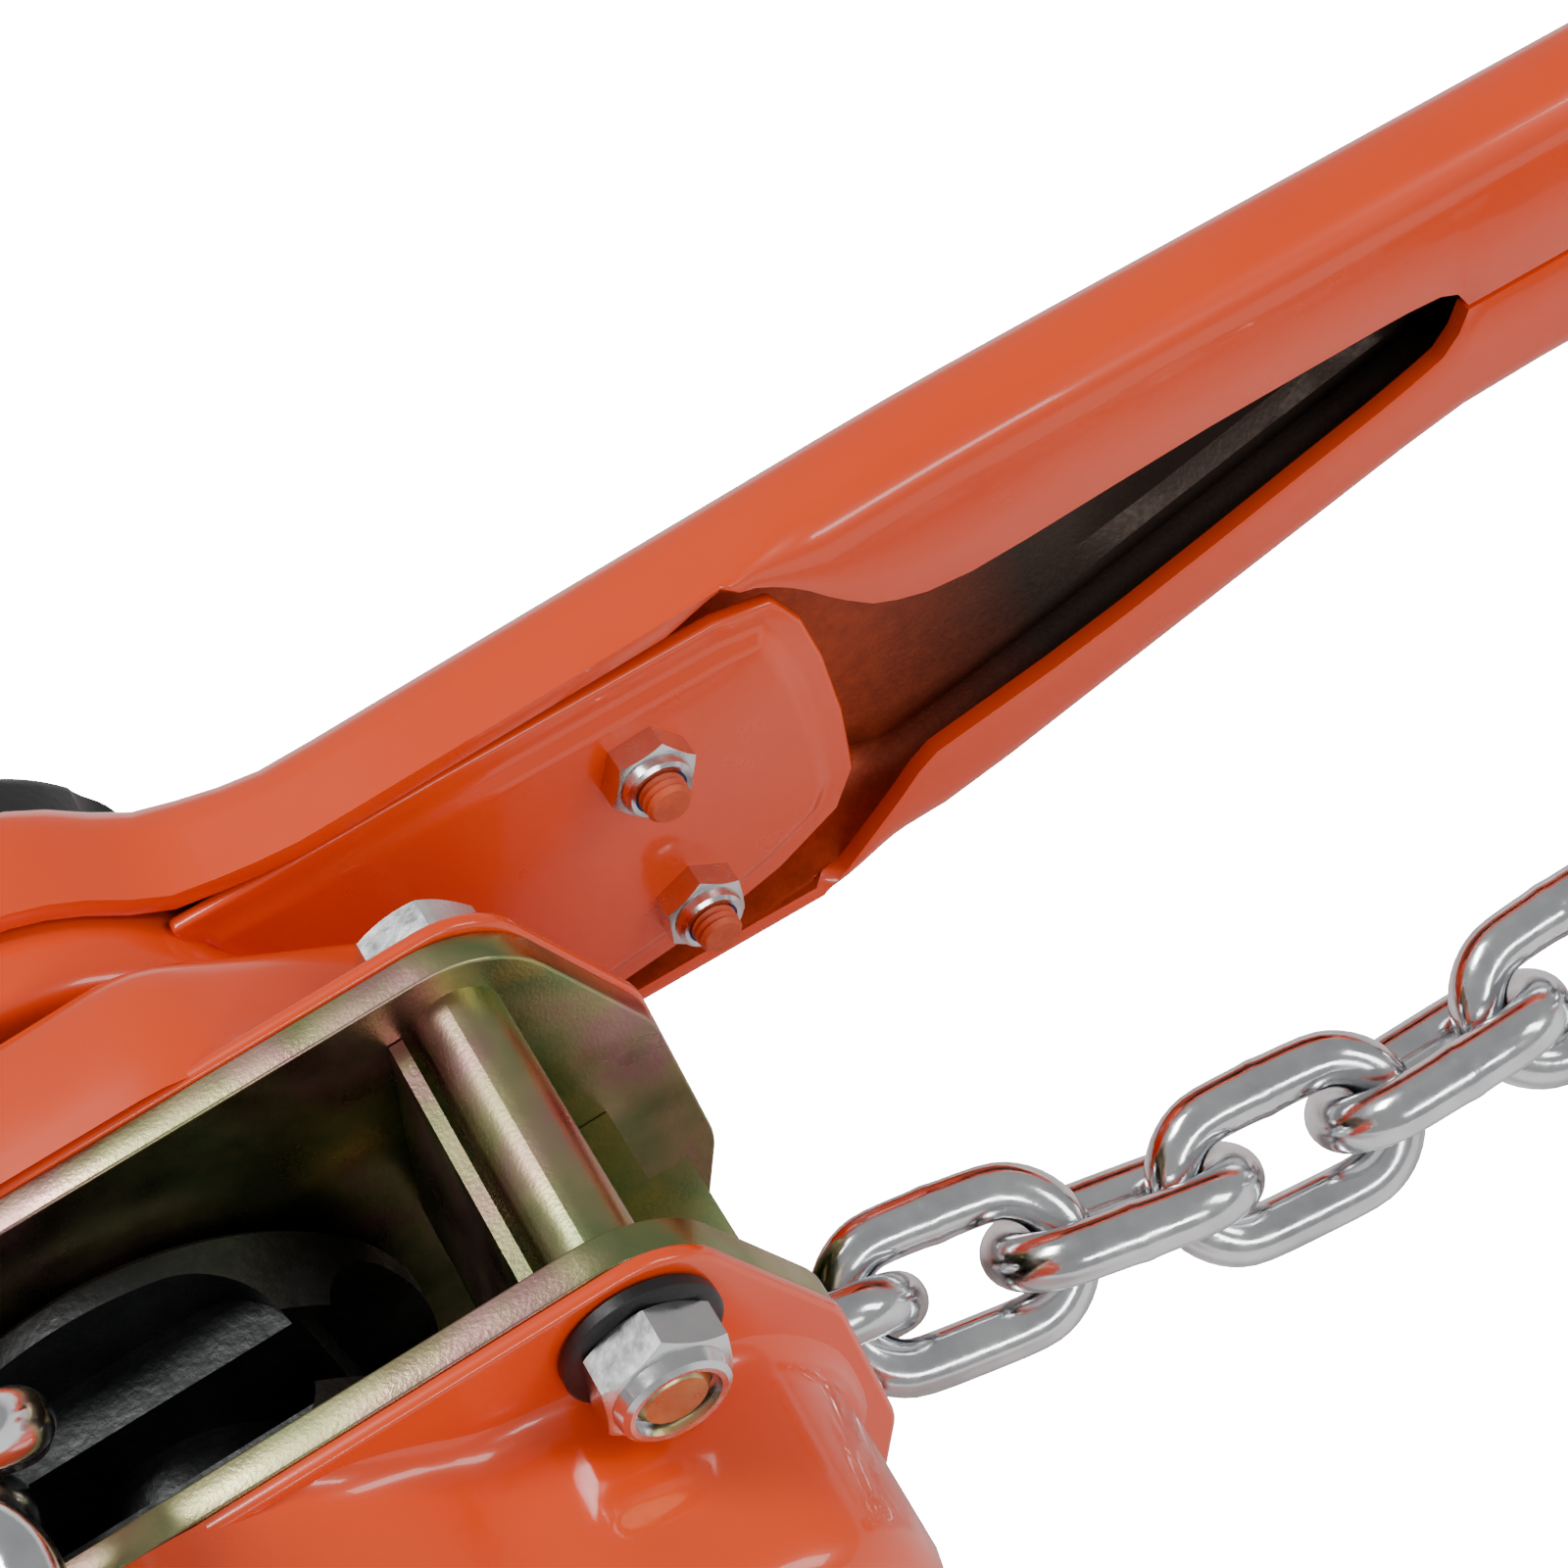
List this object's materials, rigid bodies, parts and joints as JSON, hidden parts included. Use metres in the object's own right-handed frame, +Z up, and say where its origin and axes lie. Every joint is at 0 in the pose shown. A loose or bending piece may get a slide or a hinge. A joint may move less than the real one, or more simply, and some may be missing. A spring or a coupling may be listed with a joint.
{
  "type": "lever chain hoist",
  "caption": "Lever chain hoist: geared chain wheel between side plates, ratchet lever with brake, and swivelling top and load hooks with spring latches.",
  "frame": {"origin": "centre of the bounding box at floor level", "axes": "+Z up off the floor the hoist lies on; +X from the top hook towards the load hook and along the lever; +Y from the gear side to the lever side, along the drive axis"},
  "size_m": [0.6638, 0.213, 0.1267],
  "materials": {
    "plate_zinc": "yellow chromate over zinc, iridescent",
    "orange_paint": "glossy orange paint",
    "bright_steel": "bright zinc",
    "gold_zinc": "gold zinc",
    "black_oxide": "black oxide, oiled",
    "cast_black": "black cast surface",
    "gear_steel": "machined and greased",
    "chain_zinc": "galvanised",
    "spring_steel": "spring wire",
    "friction_lining": "pressed friction lining",
    "bush_bronze": "sintered bronze",
    "wheel_black": "moulded black"
  },
  "bodies": {
    "frame": {"plate_lever_side": "plate_zinc", "plate_gear_side": "plate_zinc", "stay_bolts": "gold_zinc", "stay_spacers": "plate_zinc", "stay_washers": "black_oxide", "stay_nuts": "bright_steel", "sheave_bearings": "bright_steel", "gear_cover": "orange_paint", "brake_cover": "orange_paint", "chain_guide": "plate_zinc", "stripper": "plate_zinc", "pawl_studs": "gold_zinc", "pawl_springs": "spring_steel", "top_pin": "bright_steel", "top_pin_clip": "bright_steel", "load_chain": "chain_zinc", "wheel_chain": "chain_zinc", "slack_chain": "chain_zinc", "end_ring": "chain_zinc", "bottom_yoke": "orange_paint", "chain_pin": "bright_steel"},
    "sheave": {"load_sheave": "cast_black", "load_gear": "gear_steel", "sheave_clip": "bright_steel", "shaft_bushes": "bush_bronze"},
    "disc_front": {"disc_gear_front": "gear_steel"},
    "disc_rear": {"disc_gear_rear": "gear_steel"},
    "pinion": {"pinion_shaft": "gear_steel", "brake_seat": "gear_steel", "shaft_nut": "bright_steel", "nut_washer": "bright_steel"},
    "ratchet": {"ratchet_disc": "black_oxide", "friction_disc_inner": "friction_lining", "friction_disc_outer": "friction_lining"},
    "pawl_upper": {"brake_pawl_upper": "black_oxide"},
    "pawl_lower": {"brake_pawl_lower": "black_oxide"},
    "change_gear": {"change_gear": "black_oxide"},
    "hand_wheel": {"hand_wheel": "wheel_black"},
    "lever": {"lever_shell": "orange_paint", "lever_inner_plate": "orange_paint", "lever_spacers": "bright_steel", "lever_bolts": "gold_zinc", "lever_nuts": "bright_steel"},
    "selector": {"selector_knob": "orange_paint", "change_pawl": "black_oxide"},
    "top_yoke": {"top_yoke": "orange_paint"},
    "top_hook": {"top_hook": "orange_paint", "top_hook_nut": "bright_steel", "top_latch_pin": "bright_steel"},
    "top_latch": {"top_latch": "bright_steel", "top_latch_spring": "spring_steel"},
    "load_hook": {"load_hook": "orange_paint", "load_hook_nut": "bright_steel", "load_latch_pin": "bright_steel"},
    "load_latch": {"load_latch": "bright_steel", "load_latch_spring": "spring_steel"}
  },
  "joints": [
    {"name": "sheave_turn", "type": "hinge", "parent": "frame", "child": "sheave", "pos_m": [-0.01641, 0.00152, 0.042], "axis": [0, 1, 0], "range_deg": [-3, 3]},
    {"name": "disc_front_turn", "type": "hinge", "parent": "frame", "child": "disc_front", "pos_m": [0.01659, -0.03848, 0.042], "axis": [0, 1, 0], "range_deg": [-8.2, 8.2]},
    {"name": "disc_rear_turn", "type": "hinge", "parent": "frame", "child": "disc_rear", "pos_m": [-0.04941, -0.03848, 0.042], "axis": [0, 1, 0], "range_deg": [-8.2, 8.2]},
    {"name": "pinion_turn", "type": "hinge", "parent": "frame", "child": "pinion", "pos_m": [-0.01641, 0.00152, 0.042], "axis": [0, 1, 0], "range_deg": [-17.3, 17.3]},
    {"name": "ratchet_turn", "type": "hinge", "parent": "frame", "child": "ratchet", "pos_m": [-0.01641, 0.03652, 0.042], "axis": [0, 1, 0], "range_deg": [-0.8, 5]},
    {"name": "pawl_upper_swing", "type": "hinge", "parent": "frame", "child": "pawl_upper", "pos_m": [-0.03241, 0.03752, 0.075], "axis": [0, -1, 0], "range_deg": [0, 8], "stiffness_Nm_per_rad": 0.02, "springref_deg": -5.73},
    {"name": "pawl_lower_swing", "type": "hinge", "parent": "frame", "child": "pawl_lower", "pos_m": [-0.00041, 0.03752, 0.009], "axis": [0, -1, 0], "range_deg": [0, 8], "stiffness_Nm_per_rad": 0.02, "springref_deg": -5.73},
    {"name": "brake_screw", "type": "hinge", "parent": "pinion", "child": "change_gear", "pos_m": [-0.01641, 0.04552, 0.042], "axis": [0, 1, 0], "range_deg": [0, 90]},
    {"name": "hand_wheel_pull", "type": "slide", "parent": "change_gear", "child": "hand_wheel", "axis": [0, 1, 0], "range_m": [0, 0.0045], "stiffness_N_per_m": 400, "springref_m": -0.002},
    {"name": "lever_swing", "type": "hinge", "parent": "frame", "child": "lever", "pos_m": [-0.01641, 0.06152, 0.042], "axis": [0, 1, 0], "continuous": true},
    {"name": "selector_turn", "type": "hinge", "parent": "lever", "child": "selector", "pos_m": [0.03755, 0.06152, 0.03983], "axis": [0, 1, 0], "range_deg": [-20, 20]},
    {"name": "top_yoke_swing", "type": "hinge", "parent": "frame", "child": "top_yoke", "pos_m": [-0.06641, 0.00152, 0.042], "axis": [0, 1, 0], "range_deg": [-30, 55]},
    {"name": "top_hook_swivel", "type": "hinge", "parent": "top_yoke", "child": "top_hook", "pos_m": [-0.095, 0.00152, 0.03293], "axis": [-0.9532, 0, -0.3024], "continuous": true},
    {"name": "top_latch_swing", "type": "hinge", "parent": "top_hook", "child": "top_latch", "pos_m": [-0.11311, -0.01098, 0.02718], "axis": [0.3024, 0, -0.9532], "range_deg": [0, 26], "stiffness_Nm_per_rad": 0.02, "springref_deg": -5.73},
    {"name": "load_hook_swivel", "type": "hinge", "parent": "frame", "child": "load_hook", "pos_m": [0.24759, -0.01142, 0.01274], "axis": [1, 0, 0], "continuous": true},
    {"name": "load_latch_swing", "type": "hinge", "parent": "load_hook", "child": "load_latch", "pos_m": [0.26659, 0.00108, 0.01274], "axis": [0, 0, -1], "range_deg": [0, 26], "stiffness_Nm_per_rad": 0.02, "springref_deg": -5.73}
  ],
  "couplings": [
    {"joint": "disc_front_turn", "follows": "sheave_turn", "ratio": -2.6667},
    {"joint": "disc_rear_turn", "follows": "sheave_turn", "ratio": -2.6667},
    {"joint": "pinion_turn", "follows": "sheave_turn", "ratio": 5.7143}
  ]
}
